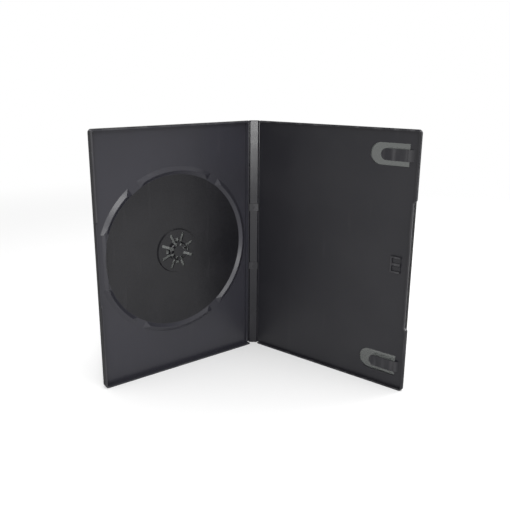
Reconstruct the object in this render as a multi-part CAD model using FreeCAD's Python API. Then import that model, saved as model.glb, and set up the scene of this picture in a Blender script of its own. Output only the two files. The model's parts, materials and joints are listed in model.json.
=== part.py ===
"""Slim disc case of black polypropylene in a clear film sleeve, standing open like a book.

The case is laid out flat first, tray, spine and cover side by side with their outer faces in one plane.
Then the two living hinges are folded to the rest pose. In the flat layout x runs from the tray to the cover
with the hub at zero, n is the depth from the outer face towards the inside, and z is up. Millimetres.
"""
import FreeCAD
import Part
import math
import os

# Driving dimensions of the closed case
case_height = 190.0
case_width = 135.0
case_thickness = 9.0
opening_angle = 105.0
plate = 1.1
rim = 1.2
tray_depth = 5.4
parting_gap = 0.2
corner_radius = 2.5
back_round = 0.5
lip_round = 0.25

# Living hinges
web = 0.5
hinge_clearance = 0.05
fold_relief = 0.75
hinge_slope = 0.25
spine_web = 0.3
spine_slope = 1.0
web_relief = 0.5

# Tray: hub and disc
hub_offset = 1.9
disc_radius = 60.0
disc_bore_radius = 7.5
disc_thickness = 1.2
seat_radius = 16.5
seat_height = 1.3
seat_slope = 0.6
hub_clearance = 0.15
snap_lip = 0.25
lip_clearance = 0.15
lip_rise = 0.35
crown_rise = 0.7
crown_inset = 1.1
crown_dish = 0.5
petal_wall = 1.0
button_radius = 4.2
slot_count = 8
slot_width = 2.1
slot_reach = 13.4
lip_window_width = 2.9
lip_window_depth = 2.6

# Tray: guard ring, finger gaps and walls
disc_clearance = 0.5
ring_height = 1.8
ring_draft = 2.4
ring_land = 0.5
ring_skirt = 2.9
ring_round = 0.25
finger_angle = 57.0
finger_gap = 8.0
gap_ramp = 4.5
grip_length = 42.0
grip_land = 0.8
grip_draft = 0.6
grip_skirt = 1.9
grip_drop = 0.2
hinge_rib = 1.1
hinge_rib_height = 1.5
hinge_rib_place = 3.4
thumb_dip_length = 64.0
thumb_dip_depth = 1.8

# Cover: booklet clips, catch and thumb recess
clip_to_end = 17.7
clip_margin = 7.6
window_length = 29.0
window_width = 15.6
tongue_length = 20.5
tongue_width = 8.2
tongue_thickness = 1.0
tongue_lift = 0.9
tongue_bend = 11.0
tongue_droop = 0.7
root_ridge = 0.4
root_land = 0.6
root_ramp = 3.0
catch_margin = 8.4
catch_length = 7.6
catch_width = 12.0
catch_height = 1.5
catch_wall = 1.2
catch_floor = 0.5
catch_ridge = 1.2
recess_length = 91.0
recess_depth = 1.6
recess_ramp = 2.0

# Spine tabs
tab_offset = 25.0
tab_length = 6.0
tab_width = 7.6
tab_height = 0.6
tab_edge = 0.3
dimple_radius = 1.0
dimple_depth = 0.4

# Film sleeve
film = 0.12
film_inset = 0.8
film_fold_gap = 0.3

# Overlap of a raised feature with the wall that it grows from
root = 0.3

# Points closer than this are one point
weld = 1e-6

# Derived places
cover_depth = case_thickness - tray_depth - parting_gap
hinge_depth = web / 2
spine_span = case_thickness - 2 * hinge_depth
panel_reach = case_width - hinge_depth
hub_to_edge = panel_reach / 2 - hub_offset
web_start = hinge_depth + hinge_clearance
plate_start = plate - hinge_depth + fold_relief
wall_start = plate_start + hinge_slope
web_ends = (web_relief, case_height - web_relief)
fold = (180.0 - opening_angle) / 2
back = tray_depth / 2
middle = case_height / 2
tray_axis = panel_reach - hub_to_edge
cover_axis = tray_axis + spine_span
tray_edge = -hub_to_edge
cover_edge = cover_axis + panel_reach
seat = plate + seat_height
ring_inner = disc_radius + disc_clearance - ring_draft * seat_height / ring_height
ring_crest = ring_inner + ring_draft + ring_land / 2
ring_outer = ring_inner + ring_draft + ring_land + ring_skirt
ring_top = plate + ring_height

up = FreeCAD.Vector(0, 0, 1)
inward = FreeCAD.Vector(0, -1, 0)


def at(x, n, z):
    """Point of the flat layout in the part's frame."""
    return FreeCAD.Vector(x, back - n, z)


def block(x_span, n_span, z_span):
    """Box between two values of x, of n and of z, each pair in rising order."""
    size = [span[1] - span[0] for span in (x_span, n_span, z_span)]
    return Part.makeBox(*size, at(x_span[0], n_span[1], z_span[0]))


def column(section, z_low, z_high):
    """Prism of a polygon of (x, n) points carried up from z_low to z_high."""
    corners = [at(x, n, z_low) for x, n in section]
    return Part.Face(Part.makePolygon(corners + corners[:1])).extrude(up * (z_high - z_low))


def slab(outline, n_low, n_high):
    """Prism of a closed wire, drawn at n of zero, between two depths."""
    low = outline.copy()
    low.translate(inward * n_low)
    return Part.Face(low).extrude(inward * (n_high - n_low))


def turned(section):
    """Ring of a polygon of (r, n) points turned about the hub's axis."""
    corners = [at(r, n, middle) for r, n in section]
    face = Part.Face(Part.makePolygon(corners + corners[:1]))
    return face.revolve(at(0, 0, middle), inward, 360)


def rounded_wire(points, radii):
    """Closed wire through (x, z) points, each corner rounded by its own radius."""
    edges = []
    starts = []
    ends = []
    count = len(points)
    for index, radius in enumerate(radii):
        corner = at(points[index][0], 0, points[index][1])
        before = at(points[index - 1][0], 0, points[index - 1][1]) - corner
        after = at(points[(index + 1) % count][0], 0, points[(index + 1) % count][1]) - corner
        before.normalize()
        after.normalize()
        half_turn = before.getAngle(after) / 2
        setback = radius / math.tan(half_turn)
        starts.append(corner + before * setback)
        ends.append(corner + after * setback)
        if radius > 0:
            bisector = before + after
            bisector.normalize()
            middle_point = corner + bisector * (radius / math.sin(half_turn) - radius)
            edges.append(Part.Arc(starts[-1], middle_point, ends[-1]).toShape())
    for index in range(count):
        run_end = starts[(index + 1) % count]
        if ends[index].distanceToPoint(run_end) > weld:
            edges.append(Part.makeLine(ends[index], run_end))
    return Part.Wire(Part.__sortEdges__(edges))


def panel_wire(hinge_x, edge_x, inset, recess):
    """Outline of a panel from its hinge side to its opening edge, drawn in by inset on three sides.

    The recess is how far the middle of the opening edge stands back, for a thumb.
    """
    inside = math.copysign(1, hinge_x - edge_x)
    edge = edge_x + inside * inset
    low = inset
    high = case_height - inset
    points = [(hinge_x, low), (edge, low)]
    radii = [0, corner_radius - inset]
    if recess > 0:
        half = recess_length / 2
        notch = edge + inside * recess
        points += [(edge, middle - half - recess_ramp), (notch, middle - half),
                   (notch, middle + half), (edge, middle + half + recess_ramp)]
        radii += [recess, recess, recess, recess]
    points += [(edge, high), (hinge_x, high)]
    radii += [corner_radius - inset, 0]
    return rounded_wire(points, radii)


def panel_shell(axis_x, edge_x, depth, recess):
    """Plate of a panel with its perimeter wall on three sides and the thin web of its hinge.

    The web stops short of both ends of the hinge.
    """
    outside = math.copysign(1, edge_x - axis_x)
    start = axis_x + outside * wall_start
    outer = slab(panel_wire(start, edge_x, 0, recess), 0, depth)
    for n, radius in ((0, back_round), (depth, lip_round)):
        rounded = [edge for edge in outer.Edges if abs(back - n - edge.BoundBox.YMax) < weld
                   and edge.BoundBox.YLength < weld and abs(edge.CenterOfMass.x - start) > weld]
        outer = outer.makeFillet(radius, rounded)
    inner = panel_wire(start - outside * rim, edge_x, rim, recess)
    shell = outer.cut(slab(inner, plate, depth + root))
    slope_x = axis_x + outside * plate_start
    web_x = axis_x + outside * web_start
    slope = column([(slope_x, 0), (start, 0), (start, plate), (slope_x, web)], 0, case_height)
    hinge = column([(web_x, 0), (slope_x, 0), (slope_x, web), (web_x, web)], *web_ends)
    return shell.fuse([slope, hinge])


def about_hub(shape, angle):
    """Copy of a shape turned by an angle about the hub's axis."""
    copy = shape.copy()
    copy.rotate(at(0, 0, middle), inward, angle)
    return copy


def hub():
    """Seat for the disc with sprung petals that meet in a round button, hollow behind and open at the slots.

    Every second petal has a snap lip, with a window in the seat under it.
    """
    skirt = seat_radius + seat_slope
    petal_radius = disc_bore_radius - hub_clearance
    petal_inside = petal_radius - petal_wall
    petal_turn = 360 / slot_count
    lip_radius = disc_bore_radius + snap_lip
    lip = seat + disc_thickness + lip_clearance
    crown = lip + lip_rise + crown_rise
    dish = crown - crown_dish
    under_seat = seat - plate
    body = turned([(skirt, 0), (skirt, plate), (seat_radius, seat), (petal_radius, seat),
                   (petal_radius, lip), (lip_radius, lip + lip_rise),
                   (lip_radius - crown_inset, crown), (button_radius, dish), (0, dish),
                   (0, dish - petal_wall), (petal_inside, dish - petal_wall),
                   (petal_inside, under_seat), (seat_radius - seat_slope / 2, under_seat),
                   (skirt - seat_slope / 2, 0)])
    through = (-root, crown + root)
    half_slot = slot_width / 2
    slot = block((button_radius, slot_reach), through, (middle - half_slot, middle + half_slot))
    slot_end = Part.makeCylinder(half_slot, crown + 2 * root, at(slot_reach, -root, middle), inward)
    slot = slot.fuse(slot_end)
    half_window = lip_window_width / 2
    window = block((petal_radius, petal_radius + lip_window_depth), through,
                   (middle - half_window, middle + half_window))
    half_petal = lip_radius * math.sin(math.radians(petal_turn / 2))
    lip_ring = turned([(petal_radius, seat), (lip_radius + root, seat),
                       (lip_radius + root, crown), (petal_radius, crown)])
    lip_trim = lip_ring.common(block((0, ring_inner), through, (middle - half_petal, middle + half_petal)))
    for index in range(slot_count):
        angle = index * petal_turn
        body = body.cut(about_hub(slot, angle + petal_turn / 2))
        body = body.cut(about_hub(lip_trim if index % 2 else window, angle))
    return body


def trough(x_span, n_span, half_low, half_high):
    """Prism across x about the middle height, with its half length at the lower and the upper depth."""
    low, high = n_span
    section = [(low, middle - half_low), (low, middle + half_low),
               (high, middle + half_high), (high, middle - half_high)]
    corners = [at(x_span[0], n, z) for n, z in section]
    face = Part.Face(Part.makePolygon(corners + corners[:1]))
    return face.extrude(FreeCAD.Vector(x_span[1] - x_span[0], 0, 0))


def guard_ring():
    """Low ring that keeps the disc in place, broken by four finger gaps.

    Both its faces slope. On the opening side it is lower and straight, and the disc overhangs it there.
    """
    land_start = ring_inner + ring_draft
    land_end = land_start + ring_land
    ring = turned([(ring_inner, plate - root), (ring_inner, plate), (land_start, ring_top),
                   (land_end, ring_top), (ring_outer, plate), (ring_outer, plate - root)])
    crest = [edge for edge in ring.Edges
             if edge.isClosed() and abs(back - ring_top - edge.BoundBox.YMax) < weld]
    ring = ring.makeFillet(ring_round, crest)
    half_gap = finger_gap / 2
    gap_top = half_gap + gap_ramp
    gap_section = [(-half_gap, plate - 2 * root), (-half_gap, plate), (-gap_top, ring_top),
                   (-gap_top, ring_top + root), (gap_top, ring_top + root), (gap_top, ring_top),
                   (half_gap, plate), (half_gap, plate - 2 * root)]
    gap = column(gap_section, middle + ring_inner - root, middle + ring_outer + root)
    for sign_x in (-1, 1):
        for angle in (90 - finger_angle, 90 + finger_angle):
            ring = ring.cut(about_hub(gap, sign_x * angle))
    half_grip = grip_length / 2
    grip_zone = (middle - half_grip, middle + half_grip)
    grip_top = seat - grip_drop
    reach = (-ring_outer - root, -ring_inner / 2)
    ring = ring.cut(block(reach, (0, ring_top + root), grip_zone))
    ring = ring.cut(trough(reach, (grip_top, ring_top + root), half_grip, half_grip + gap_ramp))
    chord = math.sqrt(ring_crest ** 2 - half_grip ** 2)
    inner_land = -chord + grip_land / 2
    outer_land = -chord - grip_land / 2
    ridge = column([(inner_land + grip_draft, plate - root), (inner_land + grip_draft, plate),
                    (inner_land, grip_top), (outer_land, grip_top), (outer_land - grip_skirt, plate),
                    (outer_land - grip_skirt, plate - root)], *grip_zone)
    bed = panel_wire(tray_axis - wall_start, tray_edge, rim / 2, 0)
    return ring.fuse(ridge).common(slab(bed, 0, ring_top))


def tray_panel():
    """Tray half: shell, hub, guard ring, the rib beside the hinge and the thumb dip in the outer wall."""
    shell = panel_shell(tray_axis, tray_edge, tray_depth, 0)
    skirt = seat_radius + seat_slope
    shell = shell.cut(Part.makeCylinder(skirt, tray_depth, at(0, -root, middle), inward))
    rib_x = tray_axis - hinge_rib_place
    rib = block((rib_x - hinge_rib / 2, rib_x + hinge_rib / 2), (plate - root, plate + hinge_rib_height),
                (rim / 2, case_height - rim / 2))
    half_dip = thumb_dip_length / 2
    dip_depths = (tray_depth - thumb_dip_depth, tray_depth + root)
    dip = trough((tray_edge - root, tray_edge + rim + root), dip_depths,
                 half_dip - thumb_dip_depth - root, half_dip)
    return shell.fuse([hub(), guard_ring(), rib]).cut(dip)


def booklet_clip(centre):
    """Sprung tongue over a window, at height centre.

    It grows from a ridge at the window's end beside the opening edge, with a ramp on the outer side.
    """
    window_near = cover_edge - clip_margin
    window_far = window_near - window_length
    end_radius = window_width / 2
    low = centre - end_radius
    high = centre + end_radius
    window_corners = [(window_near, low), (window_far, low), (window_far, high), (window_near, high)]
    window_outline = rounded_wire(window_corners, [0, end_radius, end_radius, 0])
    window = slab(window_outline, -root, plate + root)
    top = plate + tongue_lift + tongue_thickness
    under = top - tongue_thickness
    ridge = top + root_ridge
    crest = window_near + root_land / 2
    foot = crest + root_ramp
    step = crest - root_land
    bend = window_near - tongue_bend
    tip = window_near - tongue_length
    section = [(foot, plate - root), (foot, plate), (crest, ridge), (step, ridge), (step - root_ridge, top),
               (bend, top), (tip, top - tongue_droop), (tip, under - tongue_droop),
               (bend, under), (window_near, under), (window_near, plate - root)]
    half = tongue_width / 2
    bar = column(section, centre - half, centre + half)
    plan = [(foot, centre - half), (tip, centre - half), (tip, centre + half), (foot, centre + half)]
    return window, bar.common(slab(rounded_wire(plan, [0, half, half, 0]), 0, ridge))


def catch_frame():
    """Low frame at the middle of the opening edge, open towards it, with a roof-shaped bar across."""
    near = cover_edge - catch_margin
    far = near - catch_length
    half = catch_width / 2
    top = plate + catch_height
    frame = block((far, near), (plate - root, top), (middle - half, middle + half))
    pocket = block((far + catch_wall, near + root), (plate + catch_floor, top + root),
                   (middle - half + catch_wall, middle + half - catch_wall))
    half_ridge = catch_ridge / 2
    bar = trough((far, near), (plate - root, top), half_ridge + catch_height, half_ridge)
    return frame.cut(pocket).fuse(bar)


def cover_panel():
    """Cover half: shell with the thumb recess, two booklet clips and the catch."""
    cover = panel_shell(cover_axis, cover_edge, cover_depth, recess_depth)
    for centre in (clip_to_end, case_height - clip_to_end):
        window, tongue = booklet_clip(centre)
        cover = cover.cut(window).fuse(tongue)
    return cover.fuse(catch_frame())


def spine_strip():
    """Spine with the round edge of a living hinge along each side and two low tabs across it."""
    foot = web_ends[0]
    left = at(tray_axis, 0, foot)
    right = at(cover_axis, 0, foot)
    left_top = at(tray_axis, web, foot)
    right_top = at(cover_axis, web, foot)
    edges = [Part.makeLine(left, right),
             Part.Arc(right, at(cover_axis + hinge_depth, hinge_depth, foot), right_top).toShape(),
             Part.makeLine(right_top, left_top),
             Part.Arc(left_top, at(tray_axis - hinge_depth, hinge_depth, foot), left).toShape()]
    hinges = Part.Face(Part.Wire(edges)).extrude(up * (web_ends[1] - foot))
    low_x = tray_axis + spine_web
    high_x = cover_axis - spine_web
    strip = column([(low_x, 0), (high_x, 0), (high_x, web), (high_x - spine_slope, plate),
                    (low_x + spine_slope, plate), (low_x, web)], 0, case_height).fuse(hinges)
    centre_x = (tray_axis + cover_axis) / 2
    half = tab_width / 2
    tab_top = plate + tab_height
    tab_section = [(centre_x - half, hinge_depth), (centre_x - half, tab_top - tab_edge),
                   (centre_x - half + tab_edge, tab_top), (centre_x + half - tab_edge, tab_top),
                   (centre_x + half, tab_top - tab_edge), (centre_x + half, hinge_depth)]
    for centre in (middle - tab_offset, middle + tab_offset):
        tab = column(tab_section, centre - tab_length / 2, centre + tab_length / 2)
        dimple_foot = at(centre_x, tab_top - dimple_depth, centre)
        dimple = Part.makeCylinder(dimple_radius, dimple_depth + root, dimple_foot, inward)
        strip = strip.fuse(tab.cut(dimple))
    return strip


def film_sheet(x_low, x_high):
    """Stretch of the clear film on the outer face, a little inside the top and bottom edges."""
    return block((x_low, x_high), (-film, 0), (film_inset, case_height - film_inset))


def folded_at_tray(shape):
    """Turn a shape of the flat layout about the tray's hinge to the rest pose."""
    shape.rotate(at(tray_axis, hinge_depth, 0), up, -fold)
    return shape


def folded_at_cover(shape):
    """Turn a shape of the flat layout about both hinges to the rest pose."""
    shape.rotate(at(cover_axis, hinge_depth, 0), up, -fold)
    return folded_at_tray(shape)


pieces = {
    "tray_panel": tray_panel(),
    "spine_strip": folded_at_tray(spine_strip()),
    "cover_panel": folded_at_cover(cover_panel()),
    "sleeve_tray_film": film_sheet(tray_edge + film_inset, tray_axis - film_fold_gap),
    "sleeve_spine_film": folded_at_tray(film_sheet(tray_axis + film_fold_gap, cover_axis - film_fold_gap)),
    "sleeve_cover_film": folded_at_cover(film_sheet(cover_axis + film_fold_gap, cover_edge - film_inset)),
}

os.makedirs("parts", exist_ok=True)
for name, shape in pieces.items():
    solid = shape.removeSplitter()
    solid.exportStep("parts/" + name + ".step")
    print(name, "solids", len(solid.Solids), "valid", solid.isValid(), "volume", round(solid.Volume, 2))
for name, axis_x in (("tray_hinge", tray_axis), ("cover_hinge", cover_axis)):
    line = Part.Vertex(at(axis_x, hinge_depth, 0))
    if axis_x > tray_axis:
        folded_at_tray(line)
    print(name, "axis through", [round(value, 4) for value in line.Point])
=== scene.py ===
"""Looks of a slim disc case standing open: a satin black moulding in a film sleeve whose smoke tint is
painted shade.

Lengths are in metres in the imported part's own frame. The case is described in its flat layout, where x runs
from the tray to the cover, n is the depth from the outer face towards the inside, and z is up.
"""
from __future__ import annotations

import json
import logging
import math
from dataclasses import dataclass
from enum import Enum

import bpy
import numpy as np
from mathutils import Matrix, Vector


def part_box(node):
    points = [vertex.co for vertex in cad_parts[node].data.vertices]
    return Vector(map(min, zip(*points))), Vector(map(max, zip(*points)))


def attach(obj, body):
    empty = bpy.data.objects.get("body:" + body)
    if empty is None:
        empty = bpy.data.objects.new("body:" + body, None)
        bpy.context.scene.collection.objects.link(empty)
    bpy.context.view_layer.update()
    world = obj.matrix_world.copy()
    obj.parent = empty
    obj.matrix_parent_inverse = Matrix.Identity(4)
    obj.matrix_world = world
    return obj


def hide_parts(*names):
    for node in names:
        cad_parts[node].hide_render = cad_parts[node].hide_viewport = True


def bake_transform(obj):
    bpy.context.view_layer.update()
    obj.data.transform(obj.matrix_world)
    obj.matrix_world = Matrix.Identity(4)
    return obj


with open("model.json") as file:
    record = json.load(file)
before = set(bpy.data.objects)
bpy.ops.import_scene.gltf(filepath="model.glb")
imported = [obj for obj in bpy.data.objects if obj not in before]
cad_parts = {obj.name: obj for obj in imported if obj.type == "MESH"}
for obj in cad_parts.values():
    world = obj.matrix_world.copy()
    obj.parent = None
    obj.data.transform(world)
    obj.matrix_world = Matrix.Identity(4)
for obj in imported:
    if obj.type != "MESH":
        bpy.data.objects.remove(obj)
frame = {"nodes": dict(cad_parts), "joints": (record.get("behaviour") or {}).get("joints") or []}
LOG = logging.getLogger("disc_case")
NOISE_MEAN = 0.5


class Panel(Enum):
    """The three stiff parts of the moulding, by the name of the body that each one is."""

    TRAY = "tray"
    SPINE = "spine"
    COVER = "cover"


class Value:
    """Output socket of a node that takes part in Python arithmetic."""

    def __init__(self, weave: Weave, socket: bpy.types.NodeSocket) -> None:
        """Keep the tree that new nodes go to and the socket to read."""
        self.weave = weave
        self.socket = socket

    def maths(self, operation: str, *operands: Value | float) -> Value:
        """Math node on numbers and sockets.

        Args:
            operation: the Math node's operation.
            operands: its inputs, in order.

        Returns:
            The node's result.
        """
        return self.weave.node("ShaderNodeMath", {"operation": operation}, dict(enumerate(operands)))

    def __add__(self, other: Value | float) -> Value:
        """Sum."""
        return self.maths("ADD", self, other)

    def __radd__(self, other: float) -> Value:
        """Sum with a number on the left."""
        return self.maths("ADD", other, self)

    def __sub__(self, other: Value | float) -> Value:
        """Difference."""
        return self.maths("SUBTRACT", self, other)

    def __rsub__(self, other: float) -> Value:
        """Difference from a number on the left."""
        return self.maths("SUBTRACT", other, self)

    def __mul__(self, other: Value | float) -> Value:
        """Product."""
        return self.maths("MULTIPLY", self, other)

    def __rmul__(self, other: float) -> Value:
        """Product with a number on the left."""
        return self.maths("MULTIPLY", other, self)

    def __truediv__(self, other: Value | float) -> Value:
        """Quotient."""
        return self.maths("DIVIDE", self, other)

    def __rtruediv__(self, other: float) -> Value:
        """Quotient of a number on the left."""
        return self.maths("DIVIDE", other, self)

    def __abs__(self) -> Value:
        """Absolute value."""
        return self.maths("ABSOLUTE", self)

    def root(self) -> Value:
        """Square root."""
        return self.maths("SQRT", self)

    def sine(self) -> Value:
        """Sine of an angle in radians."""
        return self.maths("SINE", self)

    def larger(self, other: Value | float) -> Value:
        """The larger of two values."""
        return self.maths("MAXIMUM", self, other)

    def smaller(self, other: Value | float) -> Value:
        """The smaller of two values."""
        return self.maths("MINIMUM", self, other)

    def rise(self, low: float, high: float) -> Value:
        """Smooth step.

        Args:
            low: value where the step is still 0.
            high: value where it has reached 1.

        Returns:
            A share from 0 to 1.
        """
        return self.weave.node("ShaderNodeMapRange", {"interpolation_type": "SMOOTHSTEP"},
                               {"Value": self, "From Min": low, "From Max": high})

    def band(self, centre: float, half_width: float) -> Value:
        """Smooth band that is 1 at its centre and 0 half a width away."""
        return 1 - abs(self - centre).rise(0, half_width)

    def wave(self, pitch: float) -> Value:
        """Sine wave along a length, from 0 to 1, with one crest in each pitch."""
        return (self * (2 * math.pi / pitch)).sine() * 0.5 + 0.5


class Weave:
    """A node tree, written as Python expressions.

    The constants are the places of the Mix node's share, two colours and result.
    """

    MIX_SHARE, MIX_FIRST, MIX_SECOND, MIX_RESULT = 0, 6, 7, 2

    def __init__(self, tree: bpy.types.NodeTree) -> None:
        """Start from an empty tree."""
        self.tree = tree
        tree.nodes.clear()

    @classmethod
    def of_material(cls, name: str) -> tuple[bpy.types.Material, Weave]:
        """A new material and its tree."""
        material = bpy.data.materials.new(name)
        material.use_nodes = True
        return material, cls(material.node_tree)

    def node(self, kind: str, settings: dict | None = None, inputs: dict | None = None,
             output: int | str = 0) -> Value:
        """Add a node of any kind.

        Args:
            kind: the node's type.
            settings: its properties, set before its inputs.
            inputs: numbers, colours or values for its sockets, by name or place.
            output: the socket to return.

        Returns:
            The chosen output.
        """
        made = self.tree.nodes.new(kind)
        for name, setting in (settings or {}).items():
            setattr(made, name, setting)
        for key, given in (inputs or {}).items():
            if isinstance(given, Value):
                self.tree.links.new(given.socket, made.inputs[key])
            else:
                made.inputs[key].default_value = given
        return Value(self, made.outputs[output])

    def blend(self, share: Value | float, first: Value | tuple, second: Value | tuple) -> Value:
        """Colour between two colours.

        Args:
            share: 0 for the first colour, 1 for the second.
            first: a colour or a value.
            second: a colour or a value.

        Returns:
            The mixed colour.
        """
        inputs = {self.MIX_SHARE: share, self.MIX_FIRST: first, self.MIX_SECOND: second}
        return self.node("ShaderNodeMix", {"data_type": "RGBA"}, inputs, self.MIX_RESULT)

    def stretched(self, place: Value, factors: tuple[float, float, float]) -> Value:
        """A place with each of its axes multiplied by a factor."""
        return self.node("ShaderNodeVectorMath", {"operation": "MULTIPLY"}, {0: place, 1: factors})

    def noise(self, place: Value, pitch: float, detail: float) -> Value:
        """Noise of about one wave in each pitch, from 0 to 1 around 0.5."""
        return self.node("ShaderNodeTexNoise", None, {"Vector": place, "Scale": 1 / pitch, "Detail": detail})

    def relief(self, height: Value, depth: float, under: Value | None = None) -> Value:
        """Normal of a surface with a raised pattern.

        Args:
            height: the pattern, from 0 to 1.
            depth: what a height of 1 measures, in metres.
            under: normal of a coarser relief below it.

        Returns:
            The bent normal.
        """
        inputs = {"Strength": 1.0, "Distance": depth, "Height": height}
        if under is not None:
            inputs["Normal"] = under
        return self.node("ShaderNodeBump", None, inputs)

    def surface(self, shader: Value, output: str = "ShaderNodeOutputMaterial") -> None:
        """Join a shader to the tree's output node."""
        end = self.tree.nodes.new(output)
        self.tree.links.new(shader.socket, end.inputs["Surface"])


@dataclass(frozen=True)
class FlatLayout:
    """The case laid out flat, and how each panel turns from there to the rest pose.

    Fields are the outer face's y, the tray's opening edge, the two hinge axes as (x, y) in the flat layout,
    the fold at each hinge and the height of the case.
    """

    back: float
    tray_edge: float
    tray_axis: tuple[float, float]
    cover_axis: tuple[float, float]
    fold: float
    height: float

    @classmethod
    def from_frame(cls) -> FlatLayout:
        """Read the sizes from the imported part's boxes and joints."""
        low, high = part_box("tray_panel")
        tray, cover = (np.array(joint["pos_m"][:2]) for joint in frame["joints"])
        span = float(np.hypot(*(cover - tray)))
        fold = math.radians(-frame["joints"][0]["range_deg"][0])
        return cls(high.y, low.x, tuple(tray), (tray[0] + span, tray[1]), fold, high.z)

    @property
    def cover_edge(self) -> float:
        """The cover's opening edge in the flat layout."""
        return self.cover_axis[0] + self.tray_axis[0] - self.tray_edge

    @property
    def middle(self) -> float:
        """Half the height of the case."""
        return self.height / 2

    def turn(self, panel: Panel) -> float:
        """Angle from the rest pose back to the flat layout."""
        return {Panel.TRAY: 0.0, Panel.SPINE: self.fold, Panel.COVER: 2 * self.fold}[panel]

    @staticmethod
    def rotation(angle: float) -> np.ndarray:
        """Turn about the z axis as a matrix of two rows."""
        return np.array([[math.cos(angle), -math.sin(angle)], [math.sin(angle), math.cos(angle)]])

    def shift(self, panel: Panel) -> np.ndarray:
        """Shift that follows the turn back to the flat layout.

        A flat point q and its rest point p obey q = turn(p) + shift. The spine turns about the tray's hinge,
        and the cover about both hinges, one after the other.

        Args:
            panel: the panel that turns.

        Returns:
            The shift in x and y.
        """
        tray, cover = np.array(self.tray_axis), np.array(self.cover_axis)
        once = self.rotation(self.fold)
        spine = tray - once @ tray
        both = once @ (spine - cover) + cover
        return {Panel.TRAY: np.zeros(2), Panel.SPINE: spine, Panel.COVER: both}[panel]

    def plan(self, panel: Panel, flat: np.ndarray) -> np.ndarray:
        """Rest places in x and y of a panel's flat places."""
        return (flat - self.shift(panel)) @ self.rotation(-self.turn(panel)).T

    def place(self, panel: Panel, x: np.ndarray, n: np.ndarray, z: np.ndarray) -> np.ndarray:
        """Rest points of a panel's flat points.

        Args:
            panel: the panel that carries the points.
            x: places along the flat layout.
            n: depths from the outer face.
            z: heights.

        Returns:
            An array of points, one more axis than x.
        """
        plan = self.plan(panel, np.stack([x, self.back - n], axis=-1))
        return np.concatenate([plan, z[..., None]], axis=-1)

    def in_shader(self, weave: Weave, panel: Panel) -> tuple[Value, Value, Value, Value]:
        """Flat coordinates of a surface point inside a material.

        Args:
            weave: the material's tree.
            panel: the panel that carries the surface.

        Returns:
            The flat place as a vector, then x, n and z.
        """
        here = weave.node("ShaderNodeTexCoord", output="Object")
        place = weave.node("ShaderNodeMapping", None, {
            "Vector": here, "Location": (*self.shift(panel), 0.0), "Rotation": (0.0, 0.0, self.turn(panel))})
        axes = [weave.node("ShaderNodeSeparateXYZ", None, {0: place}, output) for output in range(3)]
        return place, axes[0], self.back - axes[1], axes[2]


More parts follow.
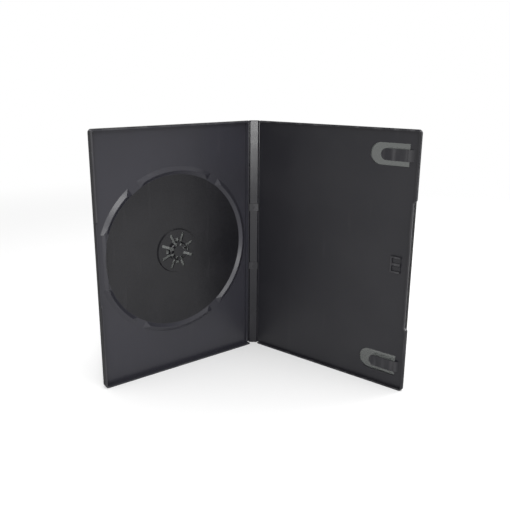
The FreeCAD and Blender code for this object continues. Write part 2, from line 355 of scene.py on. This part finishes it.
@dataclass(frozen=True)
class SatinMoulding:
    """Black polypropylene with the fine grain of its mould.

    The disc well is glossy and the outer walls are matt. The tray's deck round the well is painted paler than
    the cover's black as painted light, and the well and the outer walls are painted darker as painted shade.
    The lips and raised bars are painted paler, partly as wear and partly as a painted highlight. The cover
    has a coarser grain and the spine a finer one. Slow warps carry a faint bloom, and long fine scuffs run
    upright.
    """

    colour: tuple[float, ...] = (0.0070, 0.0068, 0.0092, 1.0)
    bloom: tuple[float, ...] = (0.0150, 0.0146, 0.0170, 1.0)
    # colour of the disc well and the tray's outer walls: painted shade, darker than the deck
    shaded_well_and_walls: tuple[float, ...] = (0.0042, 0.0041, 0.0056, 1.0)
    # colour of the tray's deck: painted light, paler than the cover's black
    deck: tuple[float, ...] = (0.0214, 0.0211, 0.0272, 1.0)
    # pale colour of lips, raised bars and scuffs: wear, and on the lips and bars also a painted highlight
    rubbed_and_highlit: tuple[float, ...] = (0.0500, 0.0490, 0.0520, 1.0)
    roughness: float = 0.31
    specular: float = 0.335
    ior: float = 1.5
    well_radius: float = 0.0589
    well_gloss: float = 0.04
    well_smooth: float = 0.6
    wall_edge: float = 0.0002
    wall_width: float = 0.0006
    wall_grain: float = 0.48
    cover_grain: float = 0.10
    spine_gloss: float = 0.09
    wear_and_highlight_depth: float = 0.0007
    wear_and_highlight_range: tuple[float, float] = (0.42, 0.66)
    rub_and_highlight_share: float = 0.55
    rub_gloss: float = 0.08
    scuff_range: tuple[float, float] = (0.62, 0.78)
    scuff_pitch: float = 0.006
    scuff_detail: float = 4.0
    scuff_stretch: tuple[float, float, float] = (1.0, 1.0, 0.12)
    scuff_share: float = 0.10
    scuff_grain: float = 0.05
    bloom_range: tuple[float, float] = (0.35, 0.72)
    bloom_share: float = 0.35
    grain_pitch: float = 0.00055
    grain_detail: float = 2.0
    grain_height: float = 0.000016
    warp_pitch: float = 0.055
    warp_detail: float = 3.0
    warp_height: float = 0.00035
    unevenness: float = 0.10

    def well(self, layout: FlatLayout, x: Value, z: Value) -> Value:
        """Share of the disc well: 1 up to the foot of the guard ring, 0 on the ring and the deck."""
        up = z - layout.middle
        return 1 - (x * x + up * up).root().rise(self.well_radius - self.wall_width, self.well_radius)

    def wall(self, layout: FlatLayout, x: Value, z: Value) -> Value:
        """Share of the outer walls: 1 on the case's outline, 0 a little further in."""
        inset = (x - layout.tray_edge).smaller(layout.cover_edge - x).smaller(z.smaller(layout.height - z))
        return 1 - inset.rise(self.wall_edge, self.wall_width)

    def material(self, name: str, layout: FlatLayout, panel: Panel, lip: float) -> bpy.types.Material:
        """Material of one stiff part.

        Args:
            name: the material's name.
            layout: the flat layout.
            panel: the part.
            lip: depth from which the part's lips and bars are fully paler, as wear and as a painted
                highlight.

        Returns:
            The material.
        """
        material, weave = Weave.of_material(name)
        place, x, n, z = layout.in_shader(weave, panel)
        cloud = weave.noise(place, self.warp_pitch, self.warp_detail)
        fine = weave.noise(place, self.grain_pitch, self.grain_detail)
        streak = weave.noise(weave.stretched(place, self.scuff_stretch), self.scuff_pitch, self.scuff_detail)
        scuff = streak.rise(*self.scuff_range)
        # lips and raised bars painted paler: wear, and a painted highlight on the part's highest faces
        wear_and_highlight = n.rise(lip - self.wear_and_highlight_depth, lip) * streak.rise(*self.wear_and_highlight_range)
        wall = self.wall(layout, x, z)
        well, ground = 0.0, self.colour
        if panel is Panel.TRAY:
            well = self.well(layout, x, z)
            # painted light and shade on the tray: the deck paler, the well and the outer walls darker
            ground = weave.blend(well.larger(wall), self.deck, self.shaded_well_and_walls)
        colour = weave.blend(cloud.rise(*self.bloom_range) * self.bloom_share, ground, self.bloom)
        colour = weave.blend(wear_and_highlight * self.rub_and_highlight_share + scuff * self.scuff_share, colour, self.rubbed_and_highlit)
        uneven = (cloud - NOISE_MEAN) * self.unevenness + (fine - NOISE_MEAN) * self.unevenness
        roughness = self.roughness + uneven - wear_and_highlight * self.rub_gloss + scuff * self.scuff_grain
        roughness = roughness - well * self.well_gloss + wall * self.wall_grain
        if panel is Panel.COVER:
            roughness = roughness + self.cover_grain
        elif panel is Panel.SPINE:
            roughness = roughness - self.spine_gloss
        warped = weave.relief(cloud, self.warp_height)
        grain = weave.relief(fine * (1 - well * self.well_smooth), self.grain_height, warped)
        weave.surface(weave.node("ShaderNodeBsdfPrincipled", None, {
            "Base Color": colour, "Roughness": roughness, "IOR": self.ior,
            "Specular IOR Level": self.specular, "Normal": grain}))
        return material


@dataclass(frozen=True)
class ShadeTintedFilm:
    """Clear film with a smoke tint, faint waves, hairline scratches and a knurled weld at its edges. The tint
    is
    painted shade: it darkens what is seen through the clip windows and hub slots as shade behind the case
    would.
    """

    # the smoke tint: painted shade for what is seen through the case's openings
    colour: tuple[float, ...] = (0.111, 0.117, 0.113, 1.0)
    roughness: float = 0.09
    ior: float = 1.49
    ripple_pitch: float = 0.030
    ripple_detail: float = 1.5
    ripple_height: float = 0.00006
    hair_pitch: float = 0.0016
    hair_detail: float = 3.0
    hair_range: tuple[float, float] = (0.66, 0.74)
    hair_grain: float = 0.10
    hair_stretch: tuple[float, float, float] = (1.0, 1.0, 0.04)
    weld_inset: float = 0.0017
    weld_width: float = 0.0006
    weld_pitch: float = 0.0013
    weld_height: float = 0.00005
    weld_grain: float = 0.22

    def material(self, name: str, layout: FlatLayout, panel: Panel,
                 edges: tuple[float, ...]) -> bpy.types.Material:
        """Material of one stretch of the film.

        Args:
            name: the material's name.
            layout: the flat layout.
            panel: the part that carries the stretch.
            edges: the x places of its welded upright edges.

        Returns:
            The material.
        """
        material, weave = Weave.of_material(name)
        place, x, _, z = layout.in_shader(weave, panel)
        ripple = weave.noise(place, self.ripple_pitch, self.ripple_detail)
        streak = weave.noise(weave.stretched(place, self.hair_stretch), self.hair_pitch, self.hair_detail)
        weld = z.band(self.weld_inset, self.weld_width) * x.wave(self.weld_pitch)
        for edge in edges:
            inset = math.copysign(self.weld_inset, -edge)
            weld = weld.larger(x.band(edge + inset, self.weld_width) * z.wave(self.weld_pitch))
        hair = streak.rise(*self.hair_range)
        roughness = self.roughness + hair * self.hair_grain + weld * self.weld_grain
        wavy = weave.relief(ripple, self.ripple_height)
        welded = weave.relief(weld, self.weld_height, wavy)
        weave.surface(weave.node("ShaderNodeBsdfPrincipled", None, {
            "Base Color": self.colour, "Roughness": roughness, "IOR": self.ior, "Transmission Weight": 1.0,
            "Normal": welded}))
        return material


@dataclass(frozen=True)
class StudioWhite:
    """White of the floor and the backdrop: matt for the light, plain white where it is seen past the case."""

    albedo: float = 0.86
    clear_radius: float = 0.42
    white_radius: float = 0.95

    def seen(self, weave: Weave) -> Value:
        """1 for rays from the camera, a mirror or a pane, 0 for those that only carry light."""
        flags = [weave.node("ShaderNodeLightPath", None, None, name)
                 for name in ("Is Camera Ray", "Is Glossy Ray", "Is Transmission Ray")]
        return flags[0].larger(flags[1]).larger(flags[2])

    def floor(self) -> bpy.types.Material:
        """Matt white that keeps the shadow near the case and fades to plain white far from it."""
        material, weave = Weave.of_material("studio_floor")
        here = weave.node("ShaderNodeTexCoord", output="Object")
        reach = weave.node("ShaderNodeVectorMath", {"operation": "LENGTH"}, {0: here}, "Value")
        matt = weave.node("ShaderNodeBsdfDiffuse", None, {"Color": (*[self.albedo] * 3, 1.0)})
        white = weave.node("ShaderNodeEmission", None, {"Strength": 1.0})
        share = reach.rise(self.clear_radius, self.white_radius) * self.seen(weave)
        weave.surface(weave.node("ShaderNodeMixShader", None, {0: share, 1: matt, 2: white}))
        return material

    def world(self, light: float) -> None:
        """Even light from all round, seen as plain white.

        Args:
            light: strength for rays that only carry light.
        """
        world = bpy.data.worlds.new("studio_world")
        bpy.context.scene.world = world
        world.use_nodes = True
        weave = Weave(world.node_tree)
        strength = light + self.seen(weave) * (1.0 - light)
        white = (1.0, 1.0, 1.0, 1.0)
        backdrop = weave.node("ShaderNodeBackground", None, {"Color": white, "Strength": strength})
        weave.surface(backdrop, "ShaderNodeOutputWorld")


def mesh_object(name: str, points: np.ndarray, quads: np.ndarray) -> bpy.types.Object:
    """Object of a mesh of quads with its place in its mesh.

    Args:
        name: name of the object and its mesh.
        points: array of points, three columns.
        quads: array of corner numbers, four columns, counter-clockwise from outside.

    Returns:
        The object, linked to the scene.
    """
    mesh = bpy.data.meshes.new(name)
    mesh.from_pydata(points.tolist(), [], quads.tolist())
    mesh.update()
    made = bpy.data.objects.new(name, mesh)
    bpy.context.scene.collection.objects.link(made)
    return made


def closed_sheet(upper: np.ndarray, lower: np.ndarray) -> tuple[np.ndarray, np.ndarray]:
    """Closed thin sheet between two grids of points.

    Vertex i, j of the upper grid has number i * columns + j, and the lower grid follows it. The lower faces
    run the other way round, and the rim joins each border point to the next one on both grids.

    Args:
        upper: grid of points, rows by columns by three.
        lower: grid of the same shape under it.

    Returns:
        The points and the quads.
    """
    rows, columns = upper.shape[:2]
    number = np.arange(rows * columns).reshape(rows, columns)
    corners = [number[:-1, :-1], number[1:, :-1], number[1:, 1:], number[:-1, 1:]]
    top = np.stack(corners, axis=-1).reshape(-1, 4)
    bottom = top[:, ::-1] + rows * columns
    border = np.concatenate([number[0, :-1], number[:-1, -1], number[-1, :0:-1], number[:0:-1, 0]])
    after = np.roll(border, -1)
    rim = np.stack([border, after, after + rows * columns, border + rows * columns], axis=-1)
    points = np.concatenate([upper.reshape(-1, 3), lower.reshape(-1, 3)])
    return points, np.concatenate([top, bottom, rim])


@dataclass
class Moulding:
    """The stiff black parts: tray with hub and guard ring, spine strip, and cover with its clips."""

    layout: FlatLayout
    finish: SatinMoulding
    tray_lip: float = 0.0054
    # the cover's pale zone starts this shallow so the catch and the clip tops get a painted highlight besides
    # wear
    cover_wear_and_highlight_lip: float = 0.0026
    spine_lip: float = 0.0017

    def dress(self) -> None:
        """Give each part's own node its material."""
        parts = {"tray_panel": (Panel.TRAY, self.tray_lip), "spine_strip": (Panel.SPINE, self.spine_lip),
                 "cover_panel": (Panel.COVER, self.cover_wear_and_highlight_lip)}
        for node, (panel, lip) in parts.items():
            part = frame["nodes"][node]
            material = self.finish.material("satin_black_" + panel.value, self.layout, panel, lip)
            part.data.materials.clear()
            part.data.materials.append(material)
            LOG.info("%s: satin black polypropylene", node)


@dataclass(frozen=True)
class LooseWave:
    """Slow waves of a film that lies loose on a flat face.

    Two products of crossing sines, a long one of about 70 by 100 mm and a short one of about 40 by 45 mm.
    Each length is that of one radian, and each start is an angle.
    """

    level: float = 0.5
    long_share: float = 0.34
    long_x: float = 0.0110
    long_z: float = 0.0165
    long_start: float = 0.6
    sway: float = 1.7
    sway_z: float = 0.031
    short_share: float = 0.16
    short_x: float = 0.0061
    short_z: float = 0.0083
    short_start: float = 2.1
    cross_x: float = 0.019
    cross_z: float = 0.0072

    def height(self, x: np.ndarray, z: np.ndarray) -> np.ndarray:
        """Height of the wave.

        Args:
            x: places along the flat layout.
            z: heights on the case.

        Returns:
            A share from 0 to 1.
        """
        sway = self.sway * np.sin(z / self.sway_z)
        long_wave = np.sin(x / self.long_x + sway) * np.sin(z / self.long_z + self.long_start)
        crossing = np.sin(z / self.cross_z + x / self.cross_x)
        short_wave = np.sin(x / self.short_x - z / self.short_z + self.short_start) * crossing
        return self.level + self.long_share * long_wave + self.short_share * short_wave


@dataclass
class FilmSleeve:
    """Film round the outside: one stretch on each stiff part, and a fold over each hinge."""

    layout: FlatLayout
    finish: ShadeTintedFilm
    loose: LooseWave = LooseWave()
    thickness: float = 0.00012
    lift: float = 0.00001
    wave: float = 0.00005
    calm: float = 0.008
    grid: float = 0.002
    inset: float = 0.0008
    fold_gap: float = 0.0003
    fold_steps: int = 13
    hinge_depth: float = 0.00025

    def heights(self) -> np.ndarray:
        """Heights of the film's rows of points, from its lower to its upper edge."""
        rows = 2 + int(self.layout.height / self.grid)
        return np.linspace(self.inset, self.layout.height - self.inset, rows)

    def stretch(self, panel: Panel, x_low: float, x_high: float) -> bpy.types.Object:
        """One stretch of the film on a stiff part.

        The inner face is flat, just off the plastic. The outer face is the film's thickness further out, less
        a slow wave that dies out at the borders.

        Args:
            panel: the part that carries it.
            x_low: its first place along the flat layout.
            x_high: its last place.

        Returns:
            The film, riding on its part in place of its node.
        """
        columns = 2 + int((x_high - x_low) / self.grid)
        x, z = np.meshgrid(np.linspace(x_low, x_high, columns), self.heights(), indexing="ij")
        beside = np.minimum(x - x_low, x_high - x)
        above = np.minimum(z - self.inset, self.layout.height - self.inset - z)
        calm = np.clip(np.minimum(beside, above) / self.calm, 0, 1)
        swell = self.wave * self.loose.height(x, z) * calm
        outer = self.layout.place(panel, x, -self.thickness + swell, z)
        inner = self.layout.place(panel, x, np.full_like(x, -self.lift), z)
        film = mesh_object("film_" + panel.value, *closed_sheet(inner, outer))
        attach(film, panel.value)
        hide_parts("sleeve_" + panel.value + "_film")
        return film

    def bend(self, near: Panel, axis: tuple[float, float], n: float) -> np.ndarray:
        """Grid of points of the film's bend over a hinge, at one depth.

        Along its profile, a straight run on the near part, an arc about the hinge's axis through the fold
        angle, and a straight run on the far part. The profile is carried up the case.

        Args:
            near: the part before the hinge.
            axis: the hinge's place in the flat layout.
            n: the depth from the outer face.

        Returns:
            The grid, from the near part to the far part by height.
        """
        run = np.array([-1.0, -0.5]) * self.fold_gap
        along = np.concatenate([run, np.zeros(self.fold_steps), -run[::-1]])
        arc = np.linspace(0, self.layout.fold, self.fold_steps)
        angle = np.concatenate([np.zeros_like(run), arc, np.full_like(run, self.layout.fold)])
        radius = self.hinge_depth - n
        flat = np.stack([axis[0] + along * np.cos(angle) + radius * np.sin(angle),
                         axis[1] - along * np.sin(angle) + radius * np.cos(angle)], axis=-1)
        plan, z = self.layout.plan(near, flat), self.heights()
        shape = (len(plan), len(z))
        return np.concatenate([np.broadcast_to(plan[:, None], (*shape, 2)),
                               np.broadcast_to(z[None, :, None], (*shape, 1))], axis=-1)

    def fold(self, name: str, near: Panel, far: Panel, axis: tuple[float, float]) -> bpy.types.Object:
        """The film's fold over a hinge.

        Args:
            name: the piece's name.
            near: the part before the hinge.
            far: the part after it; not used.
            axis: the hinge's place in the flat layout.

        Returns:
            The fold, following both parts.
        """
        inner, outer = self.bend(near, axis, -self.lift), self.bend(near, axis, -self.thickness)
        made = mesh_object(name, *closed_sheet(inner, outer))
        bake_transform(made)
        return made

    def build(self) -> None:
        """Make the three stretches and the two folds and dress them."""
        layout = self.layout
        tray_x, cover_x = layout.tray_axis[0], layout.cover_axis[0]
        edges = (layout.tray_edge + self.inset, layout.cover_edge - self.inset)
        pieces = [
            (Panel.TRAY, self.stretch(Panel.TRAY, edges[0], tray_x - self.fold_gap), edges[:1]),
            (Panel.SPINE, self.stretch(Panel.SPINE, tray_x + self.fold_gap, cover_x - self.fold_gap), ()),
            (Panel.COVER, self.stretch(Panel.COVER, cover_x + self.fold_gap, edges[1]), edges[1:]),
            (Panel.SPINE, self.fold("film_fold_tray", Panel.TRAY, Panel.SPINE, layout.tray_axis), ()),
            (Panel.SPINE, self.fold("film_fold_cover", Panel.SPINE, Panel.COVER, layout.cover_axis), ()),
        ]
        for panel, piece, welded in pieces:
            # each film piece gets the tint that is painted shade
            piece.data.materials.append(self.finish.material("tinted_" + piece.name, layout, panel, welded))
            piece.data.shade_smooth()
            LOG.info("%s: film with a smoke tint", piece.name)


@dataclass(frozen=True)
class SoftLamp:
    """Square soft lamp: where it hangs, what it faces, its side and its watts."""

    name: str
    place: tuple[float, float, float]
    target: tuple[float, float, float]
    side: float
    power: float

    def hang(self) -> None:
        """Put the lamp in the scene."""
        lamp = bpy.data.lights.new(self.name, "AREA")
        lamp.shape = "SQUARE"
        lamp.size = self.side
        lamp.energy = self.power
        held = bpy.data.objects.new(self.name, lamp)
        held.location = self.place
        held.rotation_euler = (Vector(self.target) - Vector(self.place)).to_track_quat("-Z", "Y").to_euler()
        bpy.context.scene.collection.objects.link(held)


@dataclass
class Studio:
    """Floor, soft lights and the camera at the photograph's place."""

    white: StudioWhite
    floor_half: float = 6.0
    focal_pixels: float = 608.1
    frame_pixels: float = 510.0
    sensor_width: float = 36.0
    near_clip: float = 0.01
    shift_pixels: tuple[float, float] = (16.0, -14.5)
    pitch: float = math.radians(15.210)
    yaw: float = math.radians(35.985)
    eye: tuple[float, float, float] = (-0.2246, -0.3889, 0.2245)
    world_light: float = 0.80
    lamps: tuple[SoftLamp, ...] = (
        SoftLamp("key_lamp", (-0.58, -0.80, 0.17), (0.04, -0.04, 0.09), 0.22, 2.5),
        SoftLamp("front_lamp", (-0.46, -0.85, 0.70), (0.02, -0.10, 0.0), 0.36, 5.2),
        SoftLamp("top_lamp", (-0.05, -0.28, 1.15), (-0.02, -0.20, 0.0), 0.70, 4.6),
        SoftLamp("side_lamp", (0.85, -0.20, 0.28), (0.10, -0.10, 0.09), 0.40, 3.0),
    )

    def floor(self) -> None:
        """Lay the floor: a square of four points around the case."""
        across = np.array([-1.0, 1.0, 1.0, -1.0]) * self.floor_half
        along = np.array([-1.0, -1.0, 1.0, 1.0]) * self.floor_half
        corners = np.stack([across, along, np.zeros(4)], axis=-1)
        floor = mesh_object("studio_floor", corners, np.array([[0, 1, 2, 3]]))
        floor.data.materials.append(self.white.floor())

    def camera(self) -> None:
        """Set the camera where the photograph was taken from."""
        lens = bpy.data.cameras.new("photo_camera")
        lens.sensor_width = self.sensor_width
        lens.lens = self.sensor_width * self.focal_pixels / self.frame_pixels
        lens.shift_x, lens.shift_y = (shift / self.frame_pixels for shift in self.shift_pixels)
        lens.clip_start = self.near_clip
        camera = bpy.data.objects.new("photo_camera", lens)
        camera.location = self.eye
        camera.rotation_euler = (math.pi / 2 - self.pitch, 0.0, -self.yaw)
        bpy.context.scene.collection.objects.link(camera)
        bpy.context.scene.camera = camera

    def build(self) -> None:
        """Make the stage, the light and the camera."""
        bpy.context.scene.view_settings.view_transform = "Standard"
        self.floor()
        self.white.world(self.world_light)
        for lamp in self.lamps:
            lamp.hang()
        self.camera()
        LOG.info("studio: floor, %d lamps and camera", len(self.lamps))


def main() -> None:
    """Dress the case and put it in the studio."""
    logging.basicConfig(level=logging.INFO, format="%(name)s %(message)s")
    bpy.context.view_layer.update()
    layout = FlatLayout.from_frame()
    Moulding(layout, SatinMoulding()).dress()
    FilmSleeve(layout, ShadeTintedFilm()).build()
    Studio(StudioWhite()).build()


if __name__ == "__main__":
    main()
